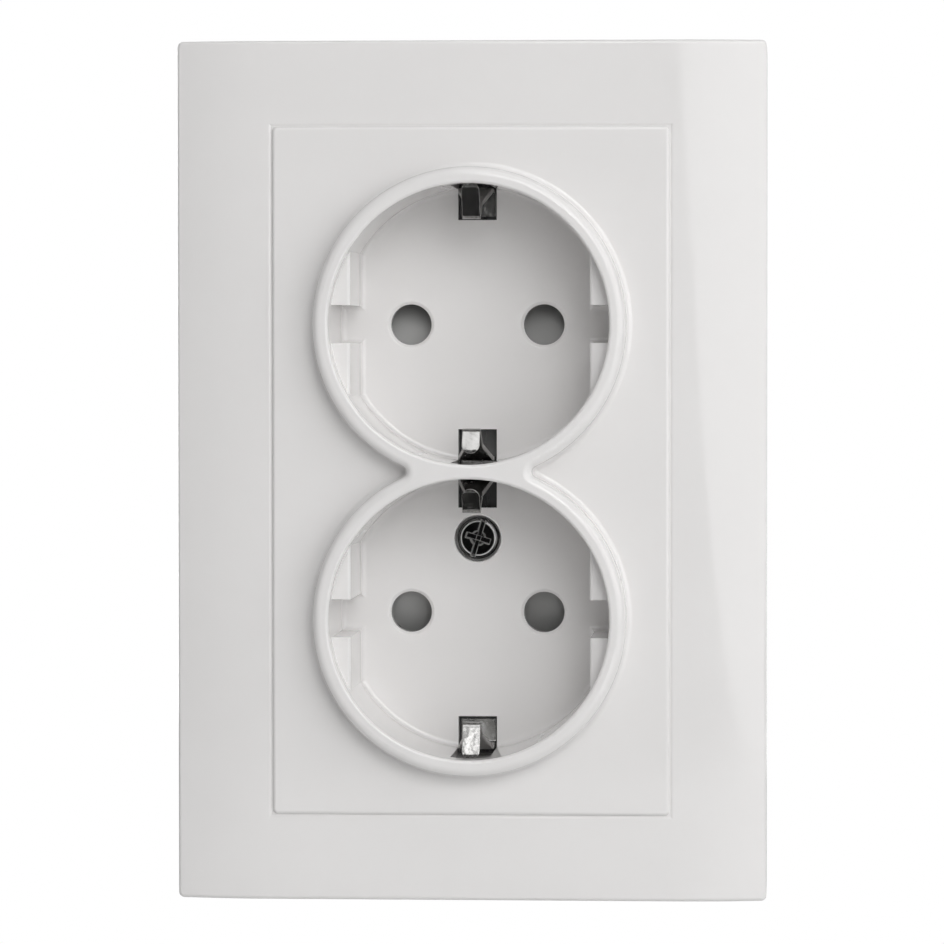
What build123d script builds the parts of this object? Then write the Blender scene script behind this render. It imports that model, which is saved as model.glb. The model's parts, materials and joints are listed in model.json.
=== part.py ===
"""Double earthed wall socket with two plug cups, on an insert for one round wall box."""
import os
from math import cos, hypot, pi, sin, sqrt

from build123d import *

# Sizes are in millimetres. Seen from the front, +X is right and +Z is up, and the front faces -Y.
# A height is the distance in front of the wall plane y = 0, so it is minus y.

# Two places nearer than this count as one
TOUCH = 0.01

# Plug cups
CUP_R = 19.5
CUP_GAP = 2.0
CUP_DEPTH = 17.5
CUP_WALL = 1.8
CUP_FLOOR_T = 2.0
CUP_FLOOR_ROUND = 0.8
RING_WALL = 2.3
RING_RISE = 4.0
RING_FLARE = 0.8
RING_NOTCH_ROUND = 0.8
RIM_OUTER_ROUND = 1.2
RIM_INNER_ROUND = 0.45
KEY_DEPTH = 2.8
KEY_SETBACK = 3.0
KEY_NOTCH_W = 5.3
KEY_ROUND = 0.4
PIN_SPACING = 19.0
PIN_LENGTH = 19.0
PIN_HOLE_R = 2.9
PIN_HOLE_CHAMFER = 0.4
EARTH_WINDOW_W = 5.5
EARTH_WINDOW_REACH = 4.6
EARTH_WINDOW_LID = 3.0

# Cover plate and its screw
COVER_W = 55.5
COVER_H = 96.0
COVER_T = 2.2
COVER_CORNER_R = 0.7
COVER_EDGE_ROUND = 0.5
COVER_PROUD = 0.4
FOOT_R = 4.0
SCREW_OFFSET = 10.5
SCREW_RECESS_R = 3.3
SCREW_RECESS_DEPTH = 2.4
SCREW_RECESS_ROUND = 0.3
SCREW_R = 1.45
SCREW_HOLE_CLEARANCE = 0.25
SCREW_LENGTH = 6.5
HEAD_CLEARANCE = 0.35
HEAD_H = 1.6
HEAD_ROUND = 0.5
DRIVE_W = 0.8
DRIVE_DEPTH = 0.9
DRIVE_CROSS = 3.2
DRIVE_TURN = -17.0

# Frame
FRAME_W = 82.5
FRAME_H = 120.0
FRAME_WALL = 2.0
FRAME_CORNER_R = 0.8
FRAME_FLAT_HALF = 28.6
FRAME_ROLL_R = 60.0
FRAME_EDGE_ROUND = 0.5
FRAME_GAP = 0.03
LEDGE_W = 1.5
LEDGE_T = 1.7
RIB_T = 1.2
RIB_DEPTH = 7.0
RIB_PITCH = 24.0
SIDE_RIBS = 4
END_RIBS = 3

# Support plate and wall box fixing
PLATE_T = 1.0
PLATE_MARGIN = 1.5
PLATE_RIVET_GAP = 0.85
PLATE_CORNER_R = 5.0
BOX_SCREW_SPACING = 60.0
BOX_SLOT_W = 4.2
BOX_SLOT_L = 8.0
PLATE_CLEARANCE = 0.3

# Earth strap and clips
STRAP_T = 0.8
STRAP_W = 9.0
STRAP_NECK_W = 5.8
STRAP_END = 1.2
FLOOR_GAP = 0.8
COLLAR_R = 2.75
COLLAR_H = 2.2
COLLAR_CLEARANCE = 0.35
THREAD_CLEARANCE = 0.05
CLIP_T = 0.6
CLIP_ROOT_W = 5.0
CLIP_HEAD_W = 2.5
CLIP_HEAD_BELOW_NOSE = 4.5
CLIP_INSET = 0.5
CLIP_TIP_INSET = -0.3
MIDDLE_TIP_INSET = 1.45
CLIP_NOSE_REACH = 4.9
CLIP_FOOT = 3.6
CLIP_BEND = 0.9
CLIP_FOOT_BEND = 0.5
CLIP_TIP_GAP = 1.0
CLIP_NOSE_BELOW_RIM = 6.2
CLIP_KNEE_BELOW_RIM = 14.1
CLIP_RIVET_INSET = 2.2
CLIP_RIVET_R = 0.7
CLIP_RIVET_HEAD_R = 0.95
CLIP_RIVET_HEAD_H = 0.5

# Shutters and their springs
PAD_HALF = 3.2
PAD_CHAMFER = 2.0
PAD_LIP = 0.3
PAD_HEEL = 3.2
SHUTTER_T = 6.0
SHUTTER_TRAVEL = 6.0
SHUTTER_CLEARANCE = 0.3
SHUTTER_SIDE_CLEARANCE = 0.4
SPRING_R = 1.6
SPRING_WIRE = 0.45
SPRING_TURNS = 5
SPRING_STEPS = 10
SPRING_WIRE_SIDES = 6
SPRING_REST = 10.5
SPRING_END_GAP = 0.05
SPRING_CHANNEL_CLEARANCE = 0.4

# Insert for the wall box
BASE_WALL = 1.3
POCKET_WEB = 1.0
PIN_WAY_CLEARANCE = 0.2
CHAMBER_CLEARANCE = 0.4
REAR_T = 3.0
REAR_INSET = 0.3
BASE_RIVET_R = 1.0
BASE_RIVET_HEAD_R = 1.7
BASE_RIVET_HEAD_H = 0.55

# Contacts
CONTACT_T = 0.8
FORK_W = 5.0
FORK_HALF = 2.6
FORK_THROAT = 2.45
FORK_LENGTH = 9.4
FORK_THROAT_UP = 6.1
FORK_WAIST_UP = 2.35
FORK_BEND = 0.6
PIN_TIP_GAP = 1.2
CONTACT_BACK_GAP = 0.6

# Push-in terminals
TAB_OFFSET = 4.7
TAB_LENGTH = 8.4
EARTH_TAB_UP = 4.2
TERMINAL_W = 11.6
TERMINAL_SPAN = 5.1
TERMINAL_SPRING_T = 0.4
TERMINAL_SPRING_H = 10.4
TERMINAL_SPRING_TIP = 0.7
TERMINAL_SPRING_DROP = 5.4
TERMINAL_SPRING_BEND = 0.7
WIRE_HOLE_R = 1.5
WIRE_FUNNEL = 0.5
WIRE_OFFSET = 1.6
WIRE_SPACING = 8.0
BUTTON_FROM = 1.5
BUTTON_TO = 3.9
BUTTON_H = 2.8
BUTTON_PROUD = 1.6
BUTTON_REACH = 4.0
BUTTON_FLANGE = 0.3
BUTTON_FLANGE_T = 0.8
BUTTON_CLEARANCE = 0.2

# Claws and their screws
CLAW_Z = -9.0
CLAW_GAP = 0.7
CLAW_W = 5.0
CLAW_SPAN = 8.8
CLAW_SHEET = 1.3
CLAW_PIVOT = 3.5
CLAW_LENGTH = 14.5
CLAW_TIP_W = 1.7
CLAW_TIP_OUT = 0.4
CLAW_TIP_H = 2.2
CLAW_TEETH = 3
CLAW_TOOTH = 0.8
CLAW_SLOT_CLEARANCE = 0.75
CLAW_SCREW_R = 1.5
CLAW_SCREW_CLEARANCE = 0.3
CLAW_SCREW_HEAD_R = 3.0
CLAW_SCREW_HEAD_H = 2.2
CLAW_SCREW_LENGTH = 14.0
CLAW_SCREW_SEAT_GAP = 0.05

# Places that follow from the sizes above
SIDES = (1, -1)
CUP_PITCH = 2 * CUP_R + CUP_GAP
CUP_Z = CUP_PITCH / 2
RING_R = CUP_R + RING_WALL
PIN_X = PIN_SPACING / 2
SCREW_Z = SCREW_OFFSET - CUP_Z
HEAD_R = SCREW_RECESS_R - HEAD_CLEARANCE

STRAP_FRONT = PLATE_T + STRAP_T
FLOOR_BACK = STRAP_FRONT + FLOOR_GAP
FLOOR_FRONT = FLOOR_BACK + CUP_FLOOR_T
RIM = FLOOR_FRONT + CUP_DEPTH
FACE = RIM - RING_RISE
COVER_BACK = FACE - COVER_T
FRAME_FACE = FACE - COVER_PROUD
FRAME_INSIDE = COVER_BACK - LEDGE_T
WINDOW_TOP = RIM - EARTH_WINDOW_LID
WINDOW_OUT_R = CUP_R + CUP_WALL / 2

SHUTTER_FRONT = FLOOR_BACK - SHUTTER_CLEARANCE
SHUTTER_BACK = SHUTTER_FRONT - SHUTTER_T
POCKET_FLOOR = SHUTTER_BACK - SHUTTER_CLEARANCE
POCKET_HALF_X = PIN_X + PAD_HALF + SHUTTER_SIDE_CLEARANCE
POCKET_OUT_Z = CUP_Z + PAD_HALF + SHUTTER_SIDE_CLEARANCE
POCKET_IN_Z = CUP_Z - PAD_HALF - SHUTTER_TRAVEL - SHUTTER_SIDE_CLEARANCE
SPRING_SEAT_Z = CUP_Z - PAD_HALF - SPRING_REST
SPRING_AXIS = (SHUTTER_FRONT + SHUTTER_BACK) / 2

CHAMBER_TOP = POCKET_FLOOR - POCKET_WEB
CHAMBER_HALF_X = FORK_HALF + CONTACT_T / 2 + CHAMBER_CLEARANCE
CHAMBER_HALF_Z = CUP_Z + FORK_W / 2 + CHAMBER_CLEARANCE
BAR_MID = FLOOR_FRONT - PIN_LENGTH - PIN_TIP_GAP - CONTACT_T / 2
SEAM = BAR_MID - CONTACT_T / 2 - CONTACT_BACK_GAP
REAR = SEAM - REAR_T

# Clamping face of each terminal's tab, and the way from it towards the spring
TAB_FACE = PIN_X + TAB_OFFSET
EARTH_TAB_FACE = STRAP_NECK_W / 2 - STRAP_T
TERMINALS = {"live": (-TAB_FACE, -1), "neutral": (TAB_FACE, 1), "earth": (EARTH_TAB_FACE, -1)}
TAB_ROOM = {"live": TAB_OFFSET, "neutral": TAB_OFFSET, "earth": STRAP_T + CHAMBER_CLEARANCE}
TERMINAL_HALF_Z = TERMINAL_W / 2 + CHAMBER_CLEARANCE

BASE_R = BASE_WALL + max(
    hypot(POCKET_HALF_X - PAD_CHAMFER, POCKET_OUT_Z),
    hypot(POCKET_HALF_X, POCKET_OUT_Z - PAD_CHAMFER),
    hypot(PIN_X + CHAMBER_HALF_X, CHAMBER_HALF_Z),
)
BASE_FLAT = TAB_FACE + TERMINAL_SPAN + BASE_WALL
BASE_RIVET_Z = (POCKET_OUT_Z + BASE_R) / 2
CLAW_X = BASE_FLAT + CLAW_GAP + CLAW_W / 2
CLIP_RIVET_Z = CUP_Z + CUP_R - CLIP_INSET - CLIP_RIVET_INSET
CLIP_BENDS = [CLIP_BEND, CLIP_BEND, CLIP_FOOT_BEND]
PLATE_W = BOX_SCREW_SPACING + BOX_SLOT_L + 2 * PLATE_MARGIN
PLATE_H = 2 * (CLIP_RIVET_Z - CLIP_RIVET_HEAD_R - PLATE_RIVET_GAP)
PLATE_RIVET_Z = (BASE_R + PLATE_H / 2) / 2

# Drawing planes: seen from the front, cut square to Z, and cut square to X
FRONT = Plane.XZ
ACROSS = Plane(origin=(0, 0, 0), x_dir=(1, 0, 0), z_dir=(0, 0, -1))
UPRIGHT = Plane(origin=(0, 0, 0), x_dir=(0, 0, 1), z_dir=(1, 0, 0))


def prism(sketch, low, high):
    """A front view sketch carried between two heights."""
    return extrude(FRONT.offset(low) * sketch, high - low)


def block(x0, x1, z0, z1, low, high):
    """A box between two x, two z and two heights."""
    sketch = Pos((x0 + x1) / 2, (z0 + z1) / 2) * Rectangle(abs(x1 - x0), abs(z1 - z0))
    return prism(sketch, low, high)


def turned(points, x=0.0, z=0.0):
    """A closed line of radius and height points, turned about an axis square to the wall."""
    profile = make_face(Polyline(*points, close=True))
    return Pos(x, 0, z) * revolve(ACROSS * profile, Axis((0, 0, 0), (0, -1, 0)))


def bent_sheet(points, bend, thickness):
    """Section of a bent sheet whose middle follows the points."""
    return trace(FilletPolyline(*points, radius=bend), thickness)


def at_height(shape, height):
    """Edges of a shape that lie at one height."""
    return shape.edges().filter_by_position(Axis.Y, -height - TOUCH, -height + TOUCH)


def cup_outline(cup_z):
    """Round cup with a flat key on each side, each key split by a notch."""
    bore = Circle(CUP_R)
    between_keys = Rectangle(2 * (CUP_R - KEY_DEPTH), 2 * CUP_R)
    notches = Rectangle(2 * CUP_R, KEY_NOTCH_W)
    return Pos(0, cup_z) * (bore & (between_keys + notches))


def ring_outline():
    """Outer line of the two raised rings, with the notch between them rounded."""
    pair = Sketch() + [Pos(0, s * CUP_Z) * Circle(RING_R) for s in SIDES]
    notches = pair.vertices().filter_by_position(Axis.Y, -CUP_GAP, CUP_GAP)
    return fillet(notches, RING_NOTCH_ROUND) if notches else pair


def cover_shell():
    """Cover plate with the two rings in front of it and the two cup walls behind it."""
    plate = prism(RectangleRounded(COVER_W, COVER_H, COVER_CORNER_R), COVER_BACK, FACE)
    plate = fillet(at_height(plate, FACE), COVER_EDGE_ROUND)
    rings = prism(ring_outline(), COVER_BACK, RIM)
    rings = fillet(at_height(rings, RIM), RIM_OUTER_ROUND)
    shell = plate + rings
    feet_of_rings = at_height(shell, FACE)
    shell = fillet(feet_of_rings, RING_FLARE)
    for s in SIDES:
        shell += prism(Pos(0, s * CUP_Z) * Circle(CUP_R + CUP_WALL), FLOOR_BACK, COVER_BACK)
    return shell


def key_rounds():
    """Slivers to take off the top edges of the two keys of a cup."""
    top = RIM - KEY_SETBACK
    slivers = Sketch()
    for s in SIDES:
        face = s * (CUP_R - KEY_DEPTH)
        corner = Pos(face + s * KEY_ROUND / 2, top - KEY_ROUND / 2) * Rectangle(KEY_ROUND, KEY_ROUND)
        slivers += corner - Pos(face + s * KEY_ROUND, top - KEY_ROUND) * Circle(KEY_ROUND)
    return extrude(ACROSS * slivers, CUP_R, both=True) & prism(Circle(CUP_R), top - KEY_ROUND, top)


def cup_cut(cup_z):
    """Hollow of one cup: round at the mouth, keyed below, with a rounded floor edge."""
    mouth = prism(Pos(0, cup_z) * Circle(CUP_R), RIM - KEY_SETBACK, RIM)
    keyed = prism(cup_outline(cup_z), FLOOR_FRONT, RIM - KEY_SETBACK)
    keyed = fillet(at_height(keyed, FLOOR_FRONT), CUP_FLOOR_ROUND)
    return mouth + keyed + Pos(0, 0, cup_z) * key_rounds()


def pin_hole(x, cup_z):
    """One pin hole through a cup floor, with a chamfered mouth."""
    wide = PIN_HOLE_R + PIN_HOLE_CHAMFER
    shoulder = FLOOR_FRONT - PIN_HOLE_CHAMFER
    points = [(0, FLOOR_BACK), (PIN_HOLE_R, FLOOR_BACK), (PIN_HOLE_R, shoulder),
              (wide, FLOOR_FRONT), (0, FLOOR_FRONT)]
    return turned(points, x, cup_z)


def earth_window(cup_z, way):
    """Slot for an earth clip: through the floor, and up the cup wall to below the rim."""
    half = EARTH_WINDOW_W / 2
    inner = cup_z + way * (CUP_R - EARTH_WINDOW_REACH)
    outer = cup_z + way * WINDOW_OUT_R if way * cup_z > 0 else 0
    return block(-half, half, inner, outer, FLOOR_BACK, WINDOW_TOP)


def make_cover():
    cover = cover_shell()
    for s in SIDES:
        cover -= cup_cut(s * CUP_Z)
    rims = [e for e in at_height(cover, RIM) if abs(e.radius - CUP_R) < TOUCH]
    cover = fillet(rims, RIM_INNER_ROUND)
    for s in SIDES:
        cover += prism(Pos(0, s * SCREW_Z) * Circle(FOOT_R), STRAP_FRONT, FLOOR_BACK)
    for s in SIDES:
        for way in SIDES:
            cover -= pin_hole(way * PIN_X, s * CUP_Z)
            cover -= earth_window(s * CUP_Z, way)
    seat = FLOOR_FRONT - SCREW_RECESS_DEPTH
    cover -= prism(Pos(0, SCREW_Z) * Circle(SCREW_RECESS_R), seat, FLOOR_FRONT)
    mouth = [e for e in at_height(cover, FLOOR_FRONT).filter_by(GeomType.CIRCLE)
             if abs(e.radius - SCREW_RECESS_R) < TOUCH]
    cover = fillet(mouth, SCREW_RECESS_ROUND)
    screw_hole = Pos(0, SCREW_Z) * Circle(SCREW_R + SCREW_HOLE_CLEARANCE)
    return cover - prism(screw_hole, STRAP_FRONT, seat)


def make_cover_screw():
    """Round headed screw with a slot crossed by a shorter slot."""
    seat = FLOOR_FRONT - SCREW_RECESS_DEPTH
    top = seat + HEAD_H
    head = fillet(at_height(prism(Circle(HEAD_R), seat, top), top), HEAD_ROUND)
    screw = head + prism(Circle(SCREW_R), seat - SCREW_LENGTH, seat)
    drive = Rectangle(2 * HEAD_R, DRIVE_W) + Rectangle(DRIVE_W, DRIVE_CROSS)
    screw -= prism(Rot(0, 0, 90 + DRIVE_TURN) * drive, top - DRIVE_DEPTH, top)
    return Pos(0, 0, SCREW_Z) * screw


def frame_section():
    """Outside of the frame cut square to Z: a flat middle, with sides that roll off."""
    half = FRAME_W / 2
    run = half - FRAME_FLAT_HALF
    edge = FRAME_FACE - (FRAME_ROLL_R - sqrt(FRAME_ROLL_R**2 - run**2))
    rolls = [TangentArc((s * FRAME_FLAT_HALF, FRAME_FACE), (s * half, edge), tangent=(s, 0))
             for s in SIDES]
    lines = [
        Line((-FRAME_FLAT_HALF, FRAME_FACE), (FRAME_FLAT_HALF, FRAME_FACE)),
        Polyline((half, edge), (half, 0), (-half, 0), (-half, edge)),
    ]
    return make_face(Curve() + lines + rolls)


def frame_ribs():
    """Thin ribs behind the frame's face, between its outer wall and its window."""
    half_w = FRAME_W / 2 - FRAME_WALL
    half_h = FRAME_H / 2 - FRAME_WALL
    window_w = COVER_W / 2 + FRAME_GAP
    window_h = COVER_H / 2 + FRAME_GAP
    low = FRAME_INSIDE - RIB_DEPTH
    ribs = []
    for s in SIDES:
        for i in range(SIDE_RIBS):
            z = (i - (SIDE_RIBS - 1) / 2) * RIB_PITCH
            ribs.append(block(s * window_w, s * half_w, z - RIB_T / 2, z + RIB_T / 2, low, FRAME_INSIDE))
        for i in range(END_RIBS):
            x = (i - (END_RIBS - 1) / 2) * RIB_PITCH
            ribs.append(block(x - RIB_T / 2, x + RIB_T / 2, s * window_h, s * half_h, low, FRAME_INSIDE))
    return ribs


def make_frame():
    frame = extrude(ACROSS * frame_section(), FRAME_H / 2, both=True)
    frame = fillet(frame.edges().filter_by(Axis.Y), FRAME_CORNER_R)
    outline = [e for e in frame.edges() if e.center().Y < -FRAME_INSIDE
               and (abs(e.center().X) > FRAME_W / 2 - FRAME_CORNER_R
                    or abs(e.center().Z) > FRAME_H / 2 - FRAME_CORNER_R)]
    frame = fillet(outline, FRAME_EDGE_ROUND)
    inside = Rectangle(FRAME_W - 2 * FRAME_WALL, FRAME_H - 2 * FRAME_WALL)
    frame -= prism(inside, 0, FRAME_INSIDE)
    window_w = COVER_W + 2 * FRAME_GAP
    window_h = COVER_H + 2 * FRAME_GAP
    frame -= prism(Rectangle(window_w, window_h), COVER_BACK, FRAME_FACE)
    shrink = 2 * (LEDGE_W - FRAME_GAP)
    frame -= prism(Rectangle(COVER_W - shrink, COVER_H - shrink), FRAME_INSIDE, COVER_BACK)
    mouth = [e for e in at_height(frame, FRAME_FACE)
             if abs(e.center().X) < window_w / 2 + TOUCH and abs(e.center().Z) < window_h / 2 + TOUCH]
    frame = fillet(mouth, FRAME_EDGE_ROUND)
    for rib in frame_ribs():
        frame += rib
    return frame


def base_outline(grow=0.0):
    """Front view of the insert: round, with a flat on each side."""
    return Circle(BASE_R + grow) & Rectangle(2 * (BASE_FLAT + grow), 2 * (BASE_R + grow))


def make_support_plate():
    plate = RectangleRounded(PLATE_W, PLATE_H, PLATE_CORNER_R) - base_outline(PLATE_CLEARANCE)
    for s in SIDES:
        plate -= Pos(s * BOX_SCREW_SPACING / 2, 0) * SlotOverall(BOX_SLOT_L, BOX_SLOT_W)
        plate -= Pos(s * CLAW_X, CLAW_Z) * Circle(CLAW_SCREW_R + CLAW_SCREW_CLEARANCE)
        plate -= Pos(0, s * PLATE_RIVET_Z) * Circle(BASE_RIVET_R)
    return prism(plate, 0, PLATE_T)


def shutter_pocket(s):
    """Room for one shutter over its whole travel, and for its springs."""
    points = [(POCKET_HALF_X, POCKET_IN_Z), (POCKET_HALF_X, POCKET_OUT_Z - PAD_CHAMFER),
              (POCKET_HALF_X - PAD_CHAMFER, POCKET_OUT_Z)]
    outline = Polyline(*points, *[(-x, z) for x, z in reversed(points)], close=True)
    pocket = prism(make_face(outline), POCKET_FLOOR, PLATE_T)
    reach = SPRING_R + SPRING_CHANNEL_CLEARANCE
    for way in SIDES:
        x = way * PIN_X
        pocket += block(x - reach, x + reach, SPRING_SEAT_Z, POCKET_IN_Z, SPRING_AXIS - reach, PLATE_T)
    return pocket if s > 0 else mirror(pocket, Plane.XY)


def terminal_chamber(pole):
    """Room for one terminal's tab and spring."""
    face, way = TERMINALS[pole]
    top = PLATE_T if pole == "earth" else CHAMBER_TOP
    x0 = face - way * TAB_ROOM[pole]
    x1 = face + way * TERMINAL_SPAN
    return block(x0, x1, -TERMINAL_HALF_Z, TERMINAL_HALF_Z, SEAM, top)


def make_base():
    base = prism(base_outline(), SEAM, PLATE_T)
    pin_way = Circle(PIN_HOLE_R + PIN_WAY_CLEARANCE)
    for s in SIDES:
        base -= shutter_pocket(s)
        x0 = s * PIN_X - CHAMBER_HALF_X
        x1 = s * PIN_X + CHAMBER_HALF_X
        base -= block(x0, x1, -CHAMBER_HALF_Z, CHAMBER_HALF_Z, SEAM, CHAMBER_TOP)
        for t in SIDES:
            base -= prism(Pos(s * PIN_X, t * CUP_Z) * pin_way, CHAMBER_TOP, POCKET_FLOOR)
        base -= prism(Pos(0, s * BASE_RIVET_Z) * Circle(BASE_RIVET_R), SEAM, PLATE_T)
    for pole in TERMINALS:
        base -= terminal_chamber(pole)
    screw_end = FLOOR_FRONT - SCREW_RECESS_DEPTH - SCREW_LENGTH
    collar_well = Pos(0, SCREW_Z) * Circle(COLLAR_R + COLLAR_CLEARANCE)
    return base - prism(collar_well, screw_end - COLLAR_CLEARANCE, PLATE_T)


def button_section(pole, grow=0.0):
    """Front view of one release button."""
    face, way = TERMINALS[pole]
    x = face + way * (BUTTON_FROM + BUTTON_TO) / 2
    return Pos(x, 0) * Rectangle(BUTTON_TO - BUTTON_FROM + 2 * grow, BUTTON_H + 2 * grow)


def make_rear_cover():
    """Back of the insert, with two funnelled wire holes and a button hole for each terminal."""
    rear = prism(base_outline(-REAR_INSET), REAR, SEAM)
    wide = WIRE_HOLE_R + WIRE_FUNNEL
    funnel = [(0, REAR), (wide, REAR), (WIRE_HOLE_R, REAR + WIRE_FUNNEL), (WIRE_HOLE_R, SEAM), (0, SEAM)]
    for pole, (face, way) in TERMINALS.items():
        for s in SIDES:
            rear -= turned(funnel, face + way * WIRE_OFFSET, s * WIRE_SPACING / 2)
        rear -= prism(button_section(pole, BUTTON_CLEARANCE), REAR, SEAM)
    for s in SIDES:
        rear -= prism(Pos(0, s * BASE_RIVET_Z) * Circle(BASE_RIVET_R), REAR, SEAM)
    return rear


def make_button(pole):
    """Release button: a stem behind the insert, and a flange that keeps it in."""
    stem = prism(button_section(pole), REAR - BUTTON_PROUD, SEAM + BUTTON_REACH)
    low = SEAM + BUTTON_CLEARANCE
    return stem + prism(button_section(pole, BUTTON_FLANGE), low, low + BUTTON_FLANGE_T)


def make_terminal_spring(pole):
    """Leaf spring that presses a wire against the tab."""
    face, way = TERMINALS[pole]
    back = TERMINAL_SPAN - CHAMBER_CLEARANCE / 2 - TERMINAL_SPRING_T / 2
    foot = SEAM + CHAMBER_CLEARANCE / 2
    top = foot + TERMINAL_SPRING_H
    points = [(back, foot), (back, top), (TERMINAL_SPRING_TIP, top - TERMINAL_SPRING_DROP)]
    line = [(face + way * u, height) for u, height in points]
    section = bent_sheet(line, TERMINAL_SPRING_BEND, TERMINAL_SPRING_T)
    return extrude(ACROSS * section, TERMINAL_W / 2, both=True)


def make_contact(s):
    """Bar with a fork for a pin of each cup, and a tab for its terminal."""
    half = [(FORK_HALF, BAR_MID + FORK_LENGTH), (FORK_THROAT, BAR_MID + FORK_THROAT_UP),
            (FORK_HALF, BAR_MID + FORK_WAIST_UP), (FORK_HALF, BAR_MID)]
    line = half + [(-x, height) for x, height in reversed(half)]
    fork = extrude(ACROSS * bent_sheet(line, FORK_BEND, CONTACT_T), FORK_W / 2, both=True)
    low = BAR_MID - CONTACT_T / 2
    bar = block(-FORK_HALF, FORK_HALF, -CUP_Z, CUP_Z, low, low + CONTACT_T)
    tab_x = TAB_OFFSET - CONTACT_T / 2
    tab_line = [(0, BAR_MID), (tab_x, BAR_MID), (tab_x, BAR_MID + TAB_LENGTH)]
    tab = extrude(ACROSS * bent_sheet(tab_line, FORK_BEND, CONTACT_T), TERMINAL_W / 2, both=True)
    contact = Pos(PIN_X, 0, 0) * (bar + tab)
    for t in SIDES:
        contact += Pos(PIN_X, 0, t * CUP_Z) * fork
    return contact if s > 0 else mirror(contact, Plane.YZ)


def make_earth_strap():
    """Flat strap behind both cups, with a screw collar and a tongue for the earth terminal."""
    half = CUP_Z + CUP_R + STRAP_END
    neck = TERMINAL_W / 2 + CHAMBER_CLEARANCE
    outline = Rectangle(STRAP_NECK_W, 2 * half)
    for s in SIDES:
        outline += Pos(0, s * (half + neck) / 2) * Rectangle(STRAP_W, half - neck)
    outline -= Pos(0, SCREW_Z) * Circle(SCREW_R + THREAD_CLEARANCE)
    for s in SIDES:
        outline -= Pos(0, s * CLIP_RIVET_Z) * Circle(CLIP_RIVET_R)
        outline -= Pos(0, s * PLATE_RIVET_Z) * Circle(BASE_RIVET_R)
        outline -= Pos(0, s * BASE_RIVET_Z) * Circle(BASE_RIVET_R)
    outline -= Circle(CLIP_RIVET_R)
    strap = prism(outline, PLATE_T, STRAP_FRONT)
    collar = Circle(COLLAR_R) - Circle(SCREW_R + THREAD_CLEARANCE)
    strap += prism(Pos(0, SCREW_Z) * collar, PLATE_T - COLLAR_H, PLATE_T)
    tongue_end = BAR_MID + EARTH_TAB_UP
    edge = STRAP_NECK_W / 2
    return strap + block(edge - STRAP_T, edge, -TERMINAL_W / 2, TERMINAL_W / 2, tongue_end, STRAP_FRONT)


def clip_line(tip_inset):
    """Middle of a clip's sheet from its tip to the foot of its root, as distance from the cup and height."""
    root = CUP_R - CLIP_INSET
    return [(CUP_R - tip_inset, WINDOW_TOP - CLIP_TIP_GAP),
            (CUP_R - CLIP_NOSE_REACH, RIM - CLIP_NOSE_BELOW_RIM),
            (root, RIM - CLIP_KNEE_BELOW_RIM),
            (root, STRAP_FRONT + CLIP_T / 2)]


def clip_width():
    """Front outline of a clip by height: a narrow head on a wide root."""
    nose = RIM - CLIP_NOSE_BELOW_RIM - CLIP_HEAD_BELOW_NOSE
    knee = RIM - CLIP_KNEE_BELOW_RIM
    tip = WINDOW_TOP - CLIP_TIP_GAP
    half = [(CLIP_ROOT_W / 2, STRAP_FRONT), (CLIP_ROOT_W / 2, knee), (CLIP_HEAD_W / 2, nose),
            (CLIP_HEAD_W / 2, tip)]
    outline = make_face(Polyline(*half, *[(-x, h) for x, h in reversed(half)], close=True))
    return extrude(ACROSS * outline, 2 * CUP_PITCH, both=True)


def round_tip(clip, tip_z, way):
    """A clip with its tip made round, as seen from the front; the tip points up or down."""
    half = CLIP_HEAD_W / 2
    square = Pos(0, tip_z - way * (half - CLIP_T) / 2) * Rectangle(CLIP_ROOT_W, half + CLIP_T)
    corners = square - Pos(0, tip_z - way * half) * Circle(half)
    return clip - prism(corners, RIM - CLIP_NOSE_BELOW_RIM, RIM)


def make_end_clip(s):
    """Single clip at the outer end of a cup."""
    line = clip_line(CLIP_TIP_INSET)
    line.append((line[-1][0] - CLIP_FOOT, line[-1][1]))
    section = bent_sheet([(CUP_Z + r, h) for r, h in line], CLIP_BENDS, CLIP_T)
    clip = extrude(UPRIGHT * section, CLIP_ROOT_W / 2, both=True) & clip_width()
    clip = round_tip(clip, CUP_Z + CUP_R - CLIP_TIP_INSET, 1)
    clip -= prism(Pos(0, CLIP_RIVET_Z) * Circle(CLIP_RIVET_R), STRAP_FRONT, FLOOR_FRONT)
    return clip if s > 0 else mirror(clip, Plane.XY)


def make_middle_clip():
    """Double clip that serves both cups from one foot."""
    half = [(CUP_Z - r, h) for r, h in clip_line(MIDDLE_TIP_INSET)]
    line = half + [(-z, h) for z, h in reversed(half)]
    section = bent_sheet(line, CLIP_BENDS + CLIP_BENDS[::-1], CLIP_T)
    clip = extrude(UPRIGHT * section, CLIP_ROOT_W / 2, both=True) & clip_width()
    for s in SIDES:
        clip = round_tip(clip, s * (CUP_Z - CUP_R + MIDDLE_TIP_INSET), -s)
    return clip - prism(Circle(CLIP_RIVET_R), STRAP_FRONT, FLOOR_FRONT)


def rivet(z, radius, head_r, head_h, low, seat, tail=0.0):
    """Rivet with a round head on its seat, and a tail head if it has one."""
    solid = prism(Circle(radius), low, seat) + prism(Circle(head_r), seat, seat + head_h)
    if tail:
        solid += prism(Circle(head_r), low - tail, low)
    return Pos(0, 0, z) * solid


def make_clip_rivets():
    seat = STRAP_FRONT + CLIP_T
    places = [s * CLIP_RIVET_Z for s in SIDES] + [0]
    return [rivet(z, CLIP_RIVET_R, CLIP_RIVET_HEAD_R, CLIP_RIVET_HEAD_H, PLATE_T, seat, CLIP_RIVET_HEAD_H)
            for z in places]


def make_plate_rivets():
    return [rivet(s * PLATE_RIVET_Z, BASE_RIVET_R, BASE_RIVET_HEAD_R, BASE_RIVET_HEAD_H, 0, STRAP_FRONT)
            for s in SIDES]


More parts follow.
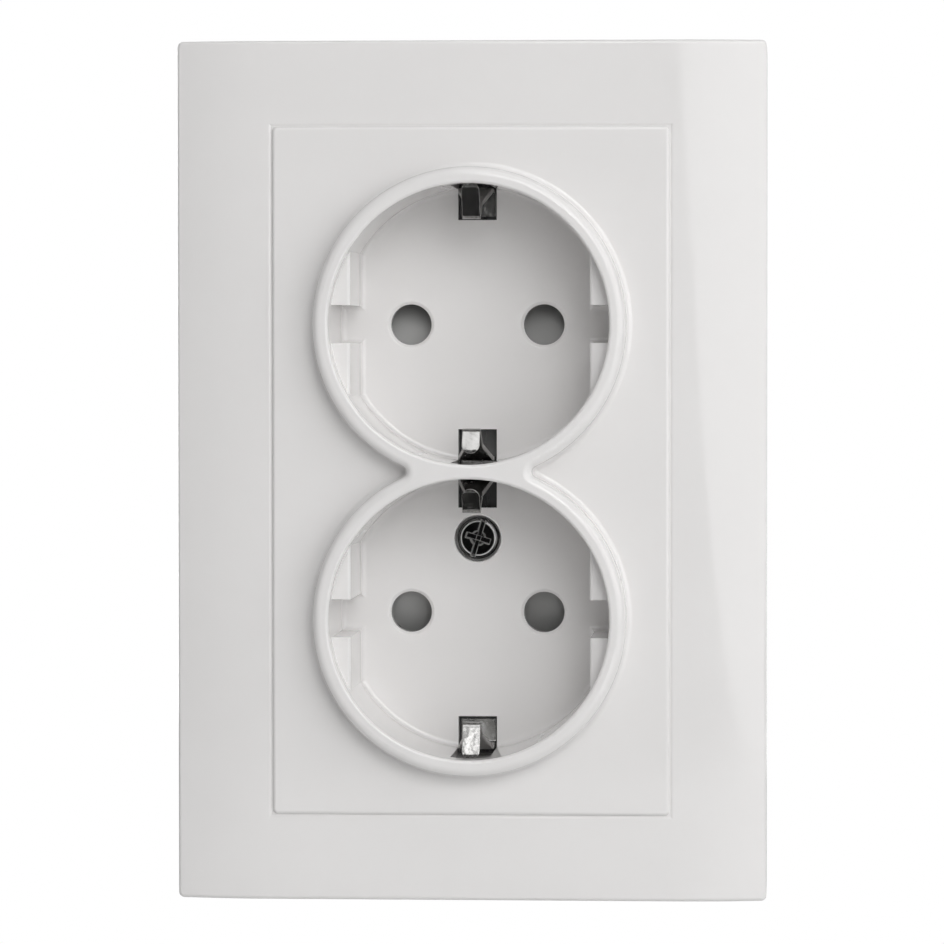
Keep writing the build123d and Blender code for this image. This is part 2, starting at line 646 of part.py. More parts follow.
def make_base_rivets():
    return [rivet(s * BASE_RIVET_Z, BASE_RIVET_R, BASE_RIVET_HEAD_R, BASE_RIVET_HEAD_H,
                  REAR, STRAP_FRONT, BASE_RIVET_HEAD_H) for s in SIDES]


def make_shutter(s):
    """Two ramped pads behind the pin holes, joined by a bridge that passes behind the earth strap."""
    lip_z = CUP_Z - PAD_HALF + PAD_LIP
    inner_z = CUP_Z - PAD_HALF
    outer_z = CUP_Z + PAD_HALF
    section = make_face(Polyline((inner_z, SHUTTER_BACK), (inner_z, SHUTTER_FRONT), (lip_z, SHUTTER_FRONT),
                                 (outer_z, SHUTTER_BACK + PAD_HEEL), (outer_z, SHUTTER_BACK), close=True))
    half_x = PIN_X + PAD_HALF
    shutter = extrude(UPRIGHT * section, half_x, both=True)
    gap_x = PIN_X - PAD_HALF
    shutter -= block(-gap_x, gap_x, inner_z, CUP_Z, SHUTTER_BACK, SHUTTER_FRONT)
    shutter -= block(-gap_x, gap_x, CUP_Z, outer_z, PLATE_T - SHUTTER_SIDE_CLEARANCE, SHUTTER_FRONT)
    corners = [e for e in shutter.edges().filter_by(Axis.Y)
               if abs(e.center().X) > half_x - TOUCH and e.center().Z > outer_z - TOUCH]
    shutter = chamfer(corners, PAD_CHAMFER)
    return shutter if s > 0 else mirror(shutter, Plane.XY)


def make_spring(s, side):
    """Return spring of a shutter, coiled in short straight steps between its seat and the shutter's pad."""
    length = SPRING_REST - SPRING_WIRE - 2 * SPRING_END_GAP
    radius = SPRING_R - SPRING_WIRE / 2
    steps = SPRING_TURNS * SPRING_STEPS
    points = []
    for i in range(steps + 1):
        angle = 2 * pi * i / SPRING_STEPS
        points.append((radius * cos(angle), radius * sin(angle), length * i / steps))
    path = Polyline(*points)
    section = Plane(origin=path @ 0, z_dir=path % 0) * RegularPolygon(SPRING_WIRE / 2, SPRING_WIRE_SIDES)
    low = SPRING_SEAT_Z + SPRING_END_GAP + SPRING_WIRE / 2
    coil = sweep(section, path, transition=Transition.RIGHT)
    spring = Pos(side * PIN_X, -SPRING_AXIS, low) * coil
    return spring if s > 0 else mirror(spring, Plane.XY)


def make_claw(s):
    """Spreading claw: a plate slotted for its screw, two arms, and a toothed tip."""
    top = -CLAW_PIVOT + CLAW_SHEET / 2
    end = -CLAW_PIVOT - CLAW_LENGTH
    half = CLAW_W / 2
    outline = make_face(Polyline((-half, top), (half, top), (half, end + CLAW_TIP_H),
                                 (half + CLAW_TIP_OUT, end), (half - CLAW_TIP_W, end),
                                 (half - CLAW_TIP_W, end + CLAW_TIP_H), (-half, top - CLAW_W), close=True))
    claw = extrude(ACROSS * outline, CLAW_SPAN / 2, both=True)
    inside = CLAW_SPAN / 2 - CLAW_SHEET
    claw -= block(-half, half, -inside, inside, end + CLAW_TIP_H, top - CLAW_SHEET)
    slot = Rectangle(2 * (CLAW_SCREW_R + CLAW_SLOT_CLEARANCE), 2 * (CLAW_SCREW_R + CLAW_SCREW_CLEARANCE))
    claw -= prism(slot, top - CLAW_SHEET, top)
    pitch = CLAW_SPAN / CLAW_TEETH
    for i in range(CLAW_TEETH + 1):
        z = (i - CLAW_TEETH / 2) * pitch
        notch = Pos(0, z) * Rot(0, 0, 45) * Rectangle(CLAW_TOOTH, CLAW_TOOTH)
        claw -= Pos(half + CLAW_TIP_OUT, 0, 0) * prism(notch, end, end + CLAW_TIP_H)
    claw = Pos(CLAW_X, 0, CLAW_Z) * claw
    return claw if s > 0 else mirror(claw, Plane.YZ)


def make_claw_screw(s):
    """Screw that draws its claw outwards."""
    seat = PLATE_T + CLAW_SCREW_SEAT_GAP
    top = seat + CLAW_SCREW_HEAD_H
    head = fillet(at_height(prism(Circle(CLAW_SCREW_HEAD_R), seat, top), top), HEAD_ROUND)
    drive = Rectangle(2 * CLAW_SCREW_HEAD_R, DRIVE_W) + Rectangle(DRIVE_W, DRIVE_CROSS)
    head -= prism(drive, top - DRIVE_DEPTH, top)
    screw = head + prism(Circle(CLAW_SCREW_R), seat - CLAW_SCREW_LENGTH, seat)
    return Pos(s * CLAW_X, 0, CLAW_Z) * screw


def make_parts():
    """Every piece by its name."""
    parts = {
        "cover": make_cover(),
        "cover_screw": make_cover_screw(),
        "frame": make_frame(),
        "support_plate": make_support_plate(),
        "base": make_base(),
        "rear_cover": make_rear_cover(),
        "earth_strap": make_earth_strap(),
        "earth_clip_top": make_end_clip(1),
        "earth_clip_bottom": make_end_clip(-1),
        "earth_clip_middle": make_middle_clip(),
        "clip_rivets": Compound(make_clip_rivets()),
        "plate_rivets": Compound(make_plate_rivets()),
        "base_rivets": Compound(make_base_rivets()),
        "neutral_contact": make_contact(1),
        "live_contact": make_contact(-1),
    }
    for pole in TERMINALS:
        parts[f"terminal_spring_{pole}"] = make_terminal_spring(pole)
        parts[f"release_button_{pole}"] = make_button(pole)
    for s, level in ((1, "upper"), (-1, "lower")):
        parts[f"shutter_{level}"] = make_shutter(s)
        for side, hand in ((1, "right"), (-1, "left")):
            parts[f"spring_{level}_{hand}"] = make_spring(s, side)
    for s, hand in ((1, "right"), (-1, "left")):
        parts[f"claw_{hand}"] = make_claw(s)
        parts[f"claw_screw_{hand}"] = make_claw_screw(s)
    return parts


os.makedirs("parts", exist_ok=True)
for name, shape in make_parts().items():
    export_step(shape, f"parts/{name}.step")
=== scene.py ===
"""Looks of the double wall socket: finishes, screws, springs, studio light and the photo's camera."""
import json
import math

import bmesh
import bpy
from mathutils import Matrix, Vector


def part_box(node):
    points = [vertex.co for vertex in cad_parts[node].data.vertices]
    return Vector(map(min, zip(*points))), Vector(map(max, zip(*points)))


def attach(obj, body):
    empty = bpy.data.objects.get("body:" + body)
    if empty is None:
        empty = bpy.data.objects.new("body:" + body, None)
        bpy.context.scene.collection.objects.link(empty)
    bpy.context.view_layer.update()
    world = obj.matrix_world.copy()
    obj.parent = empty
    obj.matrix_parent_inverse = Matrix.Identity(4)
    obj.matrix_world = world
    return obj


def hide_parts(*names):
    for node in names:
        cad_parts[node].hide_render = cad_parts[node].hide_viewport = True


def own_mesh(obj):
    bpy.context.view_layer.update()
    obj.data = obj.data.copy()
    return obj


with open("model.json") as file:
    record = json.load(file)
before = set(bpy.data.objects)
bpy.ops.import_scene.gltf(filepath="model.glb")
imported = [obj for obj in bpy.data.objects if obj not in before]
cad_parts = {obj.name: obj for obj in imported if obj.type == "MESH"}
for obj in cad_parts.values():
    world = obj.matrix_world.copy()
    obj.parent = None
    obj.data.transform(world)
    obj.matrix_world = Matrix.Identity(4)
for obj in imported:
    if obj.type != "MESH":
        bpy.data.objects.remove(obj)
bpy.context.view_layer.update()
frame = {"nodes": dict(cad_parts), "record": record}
nodes = frame["nodes"]
record = frame["record"]
scene = bpy.context.scene

# Camera: right of the socket and a little above it, turned less than fully towards it
CAMERA_AT = (0.043, -0.576, 0.017)
AIM = (0.0158, -0.0177, 0.0053)
SHIFT = (-0.1184, -0.0410)
LENS = 153.2
SENSOR = 36.0

# Lamps: where each one stands, its width and height, and its power
LAMPS = {
    "front": ((0.20, -1.00, 0.55), 0.6, 0.6, 3.2),
    "right": ((0.80, -0.55, 0.25), 0.5, 0.7, 2.3),
    "high": ((0.15, -0.35, 0.95), 0.7, 0.5, 1.4),
    "panel": ((0.40, -0.90, 0.21), 0.78, 0.73, 2.4),
    "left": ((-0.80, -0.70, 0.10), 0.6, 0.6, 0.6),
    "back_left": ((-0.55, 0.90, 0.16), 0.7, 0.6, 4.0),
    "back_right": ((0.60, 0.90, 0.14), 0.6, 0.6, 2.7),
}
LAMP_AIM = (0, 0, 0)
ROUND_LAMP = "panel"

# World: its light, the tent that gloss sees, and where the tent's roof and rear begin and are full
SKY = 0.10
TENT_ROOF = 1.0
TENT_REAR = 0.6
TENT_SHADE = 0.03
ROOF_SPAN = (0.35, 0.65)
REAR_SPAN = (0.15, 0.70)

# Floor and flag: half width, front and back edge, and height
FLOOR = (0.7, -0.9, 0.34, -0.135)
FLOOR_FADE_SPAN = (0.14, 0.36)
FLOOR_FADE_LEAST = 0.45
FLAG = (0.15, -0.45, -0.04, -0.125)

# Noise in the finishes: the part of its values that is used, how fine each use is, and how strong
NOISE_SPAN = (0.3, 0.7)
PLASTIC_CLOUD = 90.0
PLASTIC_GLOSS = 160.0
PLASTIC_GLOSS_SPREAD = 0.15
PLASTIC_SKIN = 0.25
PLASTIC_IOR = 1.5
METAL_CLOUD = 220.0
METAL_LINES = 900.0
METAL_GLOSS_SPREAD = 0.3
METAL_LINE_HEIGHT = 0.000004
METAL_LINE_STRENGTH = 0.2
DENT_SCALE = 620.0
DENT_STRENGTH = 0.6
EDGE_SAMPLES = 8

# Wear and painted highlight of the cover screw: the bright bare metal's colour, painted on worn edges and as a
# painted highlight, and the roughness without and with wear
BARE_METAL_HIGHLIGHT = (0.85, 0.85, 0.84, 1.0)
WORN_ROUGHNESS = (0.14, 0.55)

# Screw heads, in head radii: the drive, the face and its shoulder, and where they wear and carry a painted
# highlight
SLOT_DEPTH = 0.26
SLOT_HALF = 0.11
CROSS_DEPTH = 0.30
CROSS_HALF = 0.13
CROSS_REACH = 0.60
CROSS_END_BLUR = 0.07
FAN_DEPTH = 0.24
FAN_R = 0.34
FAN_BLUR = 0.12
PIT_DEPTH = 0.42
PIT_HALF = 0.13
WALL_BLUR = 0.06
FACE_R = 0.82
SHOULDER_FALL = 0.10
SHOULDER_SHALLOWER = 0.5
# The next four set where the bright metal goes: wear on the drive's walls, and a painted highlight there and along
# the line where the shoulder begins
WEAR_HIGHLIGHT_STEP = 0.008
WEAR_HIGHLIGHT_SLOPE = 3.0
WEAR_HIGHLIGHT_REACH = 0.95
WEAR_HIGHLIGHT_LINE = 0.034

# Points round a screw for each ring on its head
RING_POINTS = 3

# Screw shanks
THREAD_PITCH = 0.0005
THREAD_DEPTH = 0.0003
THREAD_ROWS = 4
SCREW_TIP = 0.0004

# Lip in the seam: how far behind the frame's face, how thick, and its reach each way from the cover's edge
LIP_BEHIND = 0.00015
LIP_THICK = 0.00035
LIP_OUTWARD = 0.0002
LIP_INWARD = 0.00025

# Shutter springs
SPRING_R = 0.001375
SPRING_WIRE = 0.00045
SPRING_TURNS = 5
COIL_STEPS = 36
COIL_SIDES = 12


def add_object(name, data):
    """A new object in the scene."""
    obj = bpy.data.objects.new(name, data)
    scene.collection.objects.link(obj)
    return obj


def mesh_object(name, build):
    """A new object from a built mesh, with its faces turned outwards."""
    bmesh.ops.recalc_face_normals(build, faces=build.faces)
    mesh = bpy.data.meshes.new(name)
    build.to_mesh(mesh)
    build.free()
    return add_object(name, mesh)


def join_rings(build, rings):
    """Faces between each ring of points and the next one."""
    for one, two in zip(rings, rings[1:]):
        for k in range(len(one)):
            n = (k + 1) % len(one)
            build.faces.new((one[k], two[k], two[n], one[n]))


def shade_smooth(obj, most_corners):
    """Smooth shading on the faces that have few enough corners."""
    for face in obj.data.polygons:
        face.use_smooth = len(face.vertices) <= most_corners


def stand(obj, place, aim):
    """Put a lamp or camera at a place and turn it towards a point."""
    obj.location = place
    obj.rotation_mode = "QUATERNION"
    obj.rotation_quaternion = (Vector(aim) - Vector(place)).to_track_quat("-Z", "Y")


def new_material(name):
    """A material with one shader, and its nodes."""
    mat = bpy.data.materials.new(name)
    mat.use_nodes = True
    tree = mat.node_tree
    tree.nodes.clear()
    out = tree.nodes.new("ShaderNodeOutputMaterial")
    shader = tree.nodes.new("ShaderNodeBsdfPrincipled")
    tree.links.new(shader.outputs["BSDF"], out.inputs["Surface"])
    return mat, tree, shader


def node_of(tree, kind):
    """The first node of a kind."""
    return next(node for node in tree.nodes if node.type == kind)


def noise(tree, scale, detail=3.0, stretch=None):
    """Noise in the socket's own coordinates, stretched if asked."""
    place = tree.nodes.new("ShaderNodeTexCoord")
    tex = tree.nodes.new("ShaderNodeTexNoise")
    tex.inputs["Scale"].default_value = scale
    tex.inputs["Detail"].default_value = detail
    source = place.outputs["Object"]
    if stretch:
        mapping = tree.nodes.new("ShaderNodeMapping")
        mapping.inputs["Scale"].default_value = stretch
        tree.links.new(source, mapping.inputs["Vector"])
        source = mapping.outputs["Vector"]
    tree.links.new(source, tex.inputs["Vector"])
    return tex.outputs["Fac"]


def map_range(tree, value, start, end, low, high, smooth=False):
    """A value that goes from low to high as another goes from start to end."""
    node = tree.nodes.new("ShaderNodeMapRange")
    if smooth:
        node.interpolation_type = "SMOOTHSTEP"
    node.inputs["From Min"].default_value = start
    node.inputs["From Max"].default_value = end
    node.inputs["To Min"].default_value = low
    node.inputs["To Max"].default_value = high
    tree.links.new(value, node.inputs["Value"])
    return node.outputs["Result"]


def uneven(tree, value, level, share):
    """A level that noise lowers and raises by a share of it."""
    return map_range(tree, value, *NOISE_SPAN, level * (1 - share), level * (1 + share))


def two_tone(tree, value, colour, tone):
    """A colour that noise makes a little darker and lighter."""
    ramp = tree.nodes.new("ShaderNodeValToRGB")
    dark = [max(c - tone, 0.0) for c in colour]
    light = [min(c + tone, 1.0) for c in colour]
    for element, position, shade in zip(ramp.color_ramp.elements, NOISE_SPAN, (dark, light)):
        element.position = position
        element.color = (*shade, 1.0)
    tree.links.new(value, ramp.inputs["Fac"])
    return ramp.outputs["Color"]


def relief(tree, value, height, strength, under=None):
    """Shading normal of a fine relief, laid over another one if given."""
    node = tree.nodes.new("ShaderNodeBump")
    node.inputs["Distance"].default_value = height
    node.inputs["Strength"].default_value = strength
    tree.links.new(value, node.inputs["Height"])
    if under:
        tree.links.new(under, node.inputs["Normal"])
    return node.outputs["Normal"]


def rounded_edges(tree, radius):
    """Shading normal of edges that look rounded."""
    node = tree.nodes.new("ShaderNodeBevel")
    node.samples = EDGE_SAMPLES
    node.inputs["Radius"].default_value = radius
    return node.outputs["Normal"]


def math_node(tree, operation, first, second):
    """The result of an operation on two values."""
    node = tree.nodes.new("ShaderNodeMath")
    node.operation = operation
    tree.links.new(first, node.inputs[0])
    tree.links.new(second, node.inputs[1])
    return node.outputs["Value"]


def mix_shaders(tree, share, first, second):
    """The first shader, or the second one where the share is 1."""
    node = tree.nodes.new("ShaderNodeMixShader")
    tree.links.new(share, node.inputs["Fac"])
    tree.links.new(first, node.inputs[1])
    tree.links.new(second, node.inputs[2])
    return node.outputs["Shader"]


def plastic(name, colour, rough, grain, height, tone=0.012):
    """Moulded plastic: a faint cloud of tone, uneven gloss and a fine skin."""
    mat, tree, shader = new_material(name)
    cloud = two_tone(tree, noise(tree, PLASTIC_CLOUD), colour, tone)
    tree.links.new(cloud, shader.inputs["Base Color"])
    gloss = uneven(tree, noise(tree, PLASTIC_GLOSS), rough, PLASTIC_GLOSS_SPREAD)
    tree.links.new(gloss, shader.inputs["Roughness"])
    shader.inputs["IOR"].default_value = PLASTIC_IOR
    skin = relief(tree, noise(tree, grain, detail=2.0), height, PLASTIC_SKIN)
    tree.links.new(skin, shader.inputs["Normal"])
    return mat


def metal(name, colour, rough, stretch, grain=METAL_LINES, tone=0.05, edge=0.0, dents=0.0):
    """Bare or plated metal with drawn lines along one way, and soft edges and dents if asked."""
    mat, tree, shader = new_material(name)
    lines = noise(tree, grain, detail=4.0, stretch=stretch)
    cloud = two_tone(tree, noise(tree, METAL_CLOUD, detail=5.0), colour, tone)
    tree.links.new(cloud, shader.inputs["Base Color"])
    tree.links.new(uneven(tree, lines, rough, METAL_GLOSS_SPREAD), shader.inputs["Roughness"])
    shader.inputs["Metallic"].default_value = 1.0
    under = rounded_edges(tree, edge) if edge else None
    if dents:
        under = relief(tree, noise(tree, DENT_SCALE, detail=2.0), dents, DENT_STRENGTH, under)
    drawn = relief(tree, lines, METAL_LINE_HEIGHT, METAL_LINE_STRENGTH, under)
    tree.links.new(drawn, shader.inputs["Normal"])
    return mat


def worn_and_highlit(mat):
    """Bare bright metal where a piece's wear mark is high, as on edges that a tool has touched; the same bright
    colour is also a painted highlight along the drive's walls and round the face's edge.
    """
    tree = mat.node_tree
    shader = node_of(tree, "BSDF_PRINCIPLED")
    colour = shader.inputs["Base Color"].links[0].from_socket
    wear_highlight = tree.nodes.new("ShaderNodeAttribute")
    wear_highlight.attribute_name = "wear_highlight"
    # Wear and painted highlight: the mark mixes the bright bare metal into the dark base colour
    mix = tree.nodes.new("ShaderNodeMixRGB")
    mix.inputs["Color2"].default_value = BARE_METAL_HIGHLIGHT
    tree.links.new(wear_highlight.outputs["Fac"], mix.inputs["Fac"])
    tree.links.new(colour, mix.inputs["Color1"])
    tree.links.new(mix.outputs["Color"], shader.inputs["Base Color"])
    scratched = map_range(tree, wear_highlight.outputs["Fac"], 0.0, 1.0, *WORN_ROUGHNESS)
    tree.links.new(scratched, shader.inputs["Roughness"])
    return mat


def floor_paint():
    """Pale paint that fades to the white of the background, where the camera looks straight at it."""
    mat = plastic("floor_paint", (0.86, 0.86, 0.86), 0.6, 400.0, 0.00002, 0.004)
    tree = mat.node_tree
    place = tree.nodes.new("ShaderNodeTexCoord")
    reach = tree.nodes.new("ShaderNodeVectorMath")
    reach.operation = "LENGTH"
    tree.links.new(place.outputs["Object"], reach.inputs[0])
    fade = map_range(tree, reach.outputs["Value"], *FLOOR_FADE_SPAN, FLOOR_FADE_LEAST, 1.0, smooth=True)
    path = tree.nodes.new("ShaderNodeLightPath")
    share = math_node(tree, "MULTIPLY", fade, path.outputs["Is Camera Ray"])
    white = tree.nodes.new("ShaderNodeEmission")
    white.inputs["Strength"].default_value = 1.0
    paint = node_of(tree, "BSDF_PRINCIPLED").outputs["BSDF"]
    blend = mix_shaders(tree, share, paint, white.outputs["Emission"])
    tree.links.new(blend, node_of(tree, "OUTPUT_MATERIAL").inputs["Surface"])
    return mat


def soft_step(value, edge, blur):
    """1 below an edge and 0 above it, with a smooth change over the blur."""
    t = min(max((edge - value) / blur + 0.5, 0.0), 1.0)
    return t * t * (3 - 2 * t)


def head_depth(u, v):
    """Depth of a screw head's face at a place, in head radii."""
    share = math.hypot(u, v)
    slot = SLOT_DEPTH * soft_step(abs(u), SLOT_HALF, WALL_BLUR)
    cross = CROSS_DEPTH * soft_step(abs(v), CROSS_HALF, WALL_BLUR)
    cross *= soft_step(abs(u), CROSS_REACH, CROSS_END_BLUR)
    fan = FAN_DEPTH * soft_step(share, FAN_R, FAN_BLUR)
    pit = PIT_DEPTH * soft_step(max(abs(u), abs(v)), PIT_HALF, WALL_BLUR)
    edge = max(share - FACE_R, 0.0) / (1 - FACE_R)
    fall = SHOULDER_FALL * (1 - math.sqrt(max(1 - edge * edge, 0.0)))
    return max(slot, cross, fan, pit) * (1 - SHOULDER_SHALLOWER * edge) + fall


def head_wear_highlight(u, v):
    """Wear and painted highlight of a screw head at a place: the walls of the drive, and the line where the
    shoulder begins.
    """
    across = (head_depth(u + WEAR_HIGHLIGHT_STEP, v) - head_depth(u - WEAR_HIGHLIGHT_STEP, v)) / (2 * WEAR_HIGHLIGHT_STEP)
    along = (head_depth(u, v + WEAR_HIGHLIGHT_STEP) - head_depth(u, v - WEAR_HIGHLIGHT_STEP)) / (2 * WEAR_HIGHLIGHT_STEP)
    share = math.hypot(u, v)
    walls = min(math.hypot(across, along) / WEAR_HIGHLIGHT_SLOPE, 1.0) if share < WEAR_HIGHLIGHT_REACH else 0.0
    line = math.exp(-((share - FACE_R) / WEAR_HIGHLIGHT_LINE) ** 2)
    line *= 1 - soft_step(abs(u), SLOT_HALF, WALL_BLUR)
    return max(walls, line)


def thread_cut(angle, y, seat_y, end_y):
    """Depth of a thread that runs in under the head, on a shank with a tapered tip."""
    begun = min((y - seat_y) / THREAD_PITCH, 1.0)
    taper = max(1 - (end_y - y) / SCREW_TIP, 0.0)
    groove = abs(2 * ((y / THREAD_PITCH + angle / (2 * math.pi)) % 1.0) - 1)
    return THREAD_DEPTH * max(groove * begun, taper)


def screw_mesh(name, node, x, z, seat_y, shank_r, tilt, ring_count):
    """Screw in its node's place: a slot crossed by a shorter slot, a pit, a rounded shoulder and a thread."""
    low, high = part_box(node)
    head_r = (high.x - low.x) / 2
    turn = math.radians(tilt)
    points = RING_POINTS * ring_count
    angles = [2 * math.pi * k / points for k in range(points)]
    build = bmesh.new()
    # Mark for bright bare metal on the head: wear, and a painted highlight on the drive's walls and the shoulder
    # line
    wear_highlight = build.verts.layers.float.new("wear_highlight")

    def point(radius, angle, y):
        return build.verts.new((x + radius * math.cos(angle), y, z + radius * math.sin(angle)))

    def face_point(share, angle):
        u = share * math.cos(angle - turn)
        v = share * math.sin(angle - turn)
        vert = point(share * head_r, angle, low.y + head_depth(u, v) * head_r)
        vert[wear_highlight] = head_wear_highlight(u, v)
        return vert

    centre = face_point(0.0, 0.0)
    rings = [[face_point(i / ring_count, angle) for angle in angles] for i in range(1, ring_count + 1)]
    rings.append([point(head_r, angle, seat_y) for angle in angles])
    length = high.y - seat_y
    rows = round(length / THREAD_PITCH * THREAD_ROWS)
    for i in range(rows + 1):
        y = seat_y + length * i / rows
        rings.append([point(shank_r - thread_cut(angle, y, seat_y, high.y), angle, y) for angle in angles])
    for k, vert in enumerate(rings[0]):
        build.faces.new((centre, vert, rings[0][(k + 1) % points]))
    join_rings(build, rings)
    build.faces.new(rings[-1])
    obj = mesh_object(name, build)
    shade_smooth(obj, most_corners=4)
    return obj


def seam_lip(name):
    """Thin lip of the frame that closes the seam round the cover."""
    low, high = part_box("cover")
    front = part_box("frame")[0].y + LIP_BEHIND
    build = bmesh.new()

    def loop(y, grow):
        x, top, foot = high.x + grow, high.z + grow, low.z - grow
        return [build.verts.new(p) for p in ((-x, y, foot), (x, y, foot), (x, y, top), (-x, y, top))]

    front_out, front_in = loop(front, LIP_OUTWARD), loop(front, -LIP_INWARD)
    back_out, back_in = loop(front + LIP_THICK, LIP_OUTWARD), loop(front + LIP_THICK, -LIP_INWARD)
    join_rings(build, [front_out, front_in, back_in, back_out, front_out])
    return mesh_object(name, build)


def coil(name, centre_x, centre_y, z0, z1):
    """A wound spring as a mesh tube from z0 to z1."""
    steps = COIL_STEPS * SPRING_TURNS
    rise = (z1 - z0) / (2 * math.pi * SPRING_TURNS)
    build = bmesh.new()
    rings = []
    for i in range(steps + 1):
        a = 2 * math.pi * SPRING_TURNS * i / steps
        out = Vector((math.cos(a), math.sin(a), 0.0))
        along = Vector((-SPRING_R * math.sin(a), SPRING_R * math.cos(a), rise)).normalized()
        up = along.cross(out)
        middle = Vector((centre_x, centre_y, z0 + rise * a)) + SPRING_R * out
        ring = []
        for k in range(COIL_SIDES):
            b = 2 * math.pi * k / COIL_SIDES
            ring.append(build.verts.new(middle + SPRING_WIRE / 2 * (math.cos(b) * out + math.sin(b) * up)))
        rings.append(ring)
    join_rings(build, rings)
    build.faces.new(reversed(rings[0]))
    build.faces.new(rings[-1])
    obj = mesh_object(name, build)
    shade_smooth(obj, most_corners=COIL_SIDES)
    return obj


def area_light(name, place, width, height, power):
    """A soft lamp that shines on the socket."""
    data = bpy.data.lights.new(name, "AREA")
    data.shape = "ELLIPSE" if name == ROUND_LAMP else "RECTANGLE"
    data.size = width
    data.size_y = height
    data.energy = power
    stand(add_object(name, data), place, LAMP_AIM)


def background(tree, strength):
    """A white background node."""
    node = tree.nodes.new("ShaderNodeBackground")
    node.inputs["Color"].default_value = (1.0, 1.0, 1.0, 1.0)
    node.inputs["Strength"].default_value = strength
    return node


def light_world():
    """White where the camera looks straight at it, a tent with a bright roof and rear for gloss, else dim."""
    world = bpy.data.worlds.new("studio")
    scene.world = world
    world.use_nodes = True
    tree = world.node_tree
    tree.nodes.clear()
    way = tree.nodes.new("ShaderNodeTexCoord")
    axes = tree.nodes.new("ShaderNodeSeparateXYZ")
    tree.links.new(way.outputs["Generated"], axes.inputs["Vector"])
    roof = map_range(tree, axes.outputs["Z"], *ROOF_SPAN, TENT_SHADE, TENT_ROOF, smooth=True)
    rear = map_range(tree, axes.outputs["Y"], *REAR_SPAN, TENT_SHADE, TENT_REAR, smooth=True)
    tent = background(tree, 1.0)
    tree.links.new(math_node(tree, "MAXIMUM", roof, rear), tent.inputs["Strength"])
    dim = background(tree, SKY).outputs["Background"]
    white = background(tree, 1.0).outputs["Background"]
    path = tree.nodes.new("ShaderNodeLightPath")
    unseen = mix_shaders(tree, path.outputs["Is Glossy Ray"], dim, tent.outputs["Background"])
    whole = mix_shaders(tree, path.outputs["Is Camera Ray"], unseen, white)
    out = tree.nodes.new("ShaderNodeOutputWorld")
    tree.links.new(whole, out.inputs["Surface"])


def level_sheet(name, half, front, back, z, mat):
    """A level rectangle of the stage."""
    mesh = bpy.data.meshes.new(name)
    corners = [(-half, front, z), (half, front, z), (half, back, z), (-half, back, z)]
    mesh.from_pydata(corners, [], [(0, 1, 2, 3)])
    obj = add_object(name, mesh)
    obj.data.materials.append(mat)
    return obj


# Finishes of the pieces, and the way in which the lines of a metal run
EVENLY = (1.0, 1.0, 1.0)
ALONG_Z = (1.0, 1.0, 0.06)
FINISHES = {
    "white_plastic": plastic("white_plastic", (0.822, 0.81, 0.803), 0.07, 2600.0, 0.000002, 0.006),
    "insert_plastic": plastic("insert_plastic", (0.10, 0.10, 0.105), 0.48, 2200.0, 0.00004),
    "shutter_plastic": plastic("shutter_plastic", (0.33, 0.33, 0.325), 0.45, 2400.0, 0.00003),
    "button_plastic": plastic("button_plastic", (0.74, 0.26, 0.05), 0.4, 2400.0, 0.00003, 0.02),
    "zinc_steel": metal("zinc_steel", (0.52, 0.53, 0.54), 0.28, ALONG_Z, grain=3600.0, tone=0.03),
    "screw_steel": metal("screw_steel", (0.44, 0.44, 0.44), 0.22, EVENLY),
    # Spring steel with a base colour darker than the real metal's: the extra darkness is painted shade for the
    # clips' dark reflections
    "spring_steel": metal("spring_steel", (0.32, 0.317, 0.31), 0.22, ALONG_Z, edge=0.00018, dents=0.0002),
    # Near-black steel for the earth strap: painted shade, so the strap seen through the clip windows reads as a
    # deep dark cavity
    "strap_steel_painted_shade": metal("strap_steel_painted_shade", (0.10, 0.10, 0.10), 0.3, ALONG_Z, tone=0.02),
    "contact_brass": metal("contact_brass", (0.74, 0.57, 0.27), 0.3, ALONG_Z),
    # The cover screw gets bright bare metal at its mark: wear, and a painted highlight on its edges
    "cover_screw_steel": worn_and_highlit(metal("cover_screw_steel", (0.05, 0.05, 0.05), 0.16, EVENLY)),
}
slot_of = {part["node"]: part["material_slot"] for part in record["subparts"]}
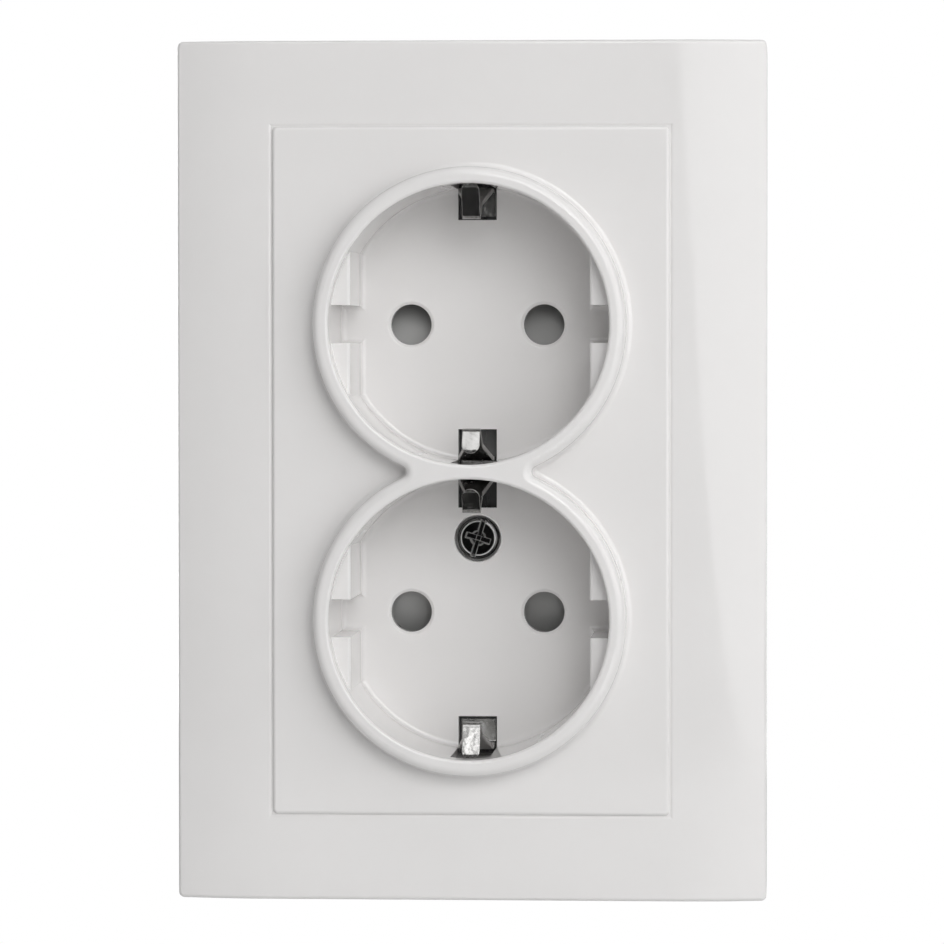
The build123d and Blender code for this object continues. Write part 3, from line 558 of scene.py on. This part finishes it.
for name, obj in nodes.items():
    obj.data.materials.clear()
    # The earth strap takes the near-black steel in place of its slot's finish: painted shade
    finish = "strap_steel_painted_shade" if name == "earth_strap" else slot_of[name]
    obj.data.materials.append(FINISHES[finish])

# Screws in place of the plain ones: body, finish, x, z, seat's y, shank radius, turn of the slot, rings on the head
SCREWS = {
    "cover_screw": ("housing", "cover_screw_steel", 0.0, -0.010, -0.0022, 0.00145, -17.0, 96),
    "claw_screw_left": ("claw_screw_left", "screw_steel", -0.0238, -0.009, -0.00105, 0.0015, 90.0, 40),
    "claw_screw_right": ("claw_screw_right", "screw_steel", 0.0238, -0.009, -0.00105, 0.0015, 90.0, 40),
}
for name, (body, finish, *sizes) in SCREWS.items():
    screw = screw_mesh(name + "_detail", name, *sizes)
    screw.data.materials.append(FINISHES[finish])
    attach(screw, body)
    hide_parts(name)

lip = seam_lip("frame_lip")
lip.data.materials.append(FINISHES["white_plastic"])
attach(lip, "housing")

# Smooth springs in place of the faceted ones
for level in ("upper", "lower"):
    for hand in ("left", "right"):
        node = f"spring_{level}_{hand}"
        low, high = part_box(node)
        middle = (low + high) / 2
        spring = coil(node + "_coil", middle.x, middle.y, low.z + SPRING_WIRE / 2, high.z - SPRING_WIRE / 2)
        spring.data.materials.append(FINISHES["spring_steel"])
        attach(spring, "housing")
        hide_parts(node)
        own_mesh(spring)

# Light, pale floor, and a black card in front, below the picture, that only reflections see
for name, sizes in LAMPS.items():
    area_light(name, *sizes)
light_world()
level_sheet("floor", *FLOOR, floor_paint())
flag = level_sheet("flag", *FLAG, plastic("flag_cloth", (0.012, 0.012, 0.012), 0.9, 400.0, 0.00002, 0.003))
flag.visible_camera = False
flag.visible_diffuse = False
flag.visible_shadow = False

camera_data = bpy.data.cameras.new("camera")
camera_data.lens = LENS
camera_data.sensor_width = SENSOR
camera_data.shift_x, camera_data.shift_y = SHIFT
camera = add_object("camera", camera_data)
stand(camera, CAMERA_AT, AIM)
scene.camera = camera
scene.view_settings.view_transform = "Standard"
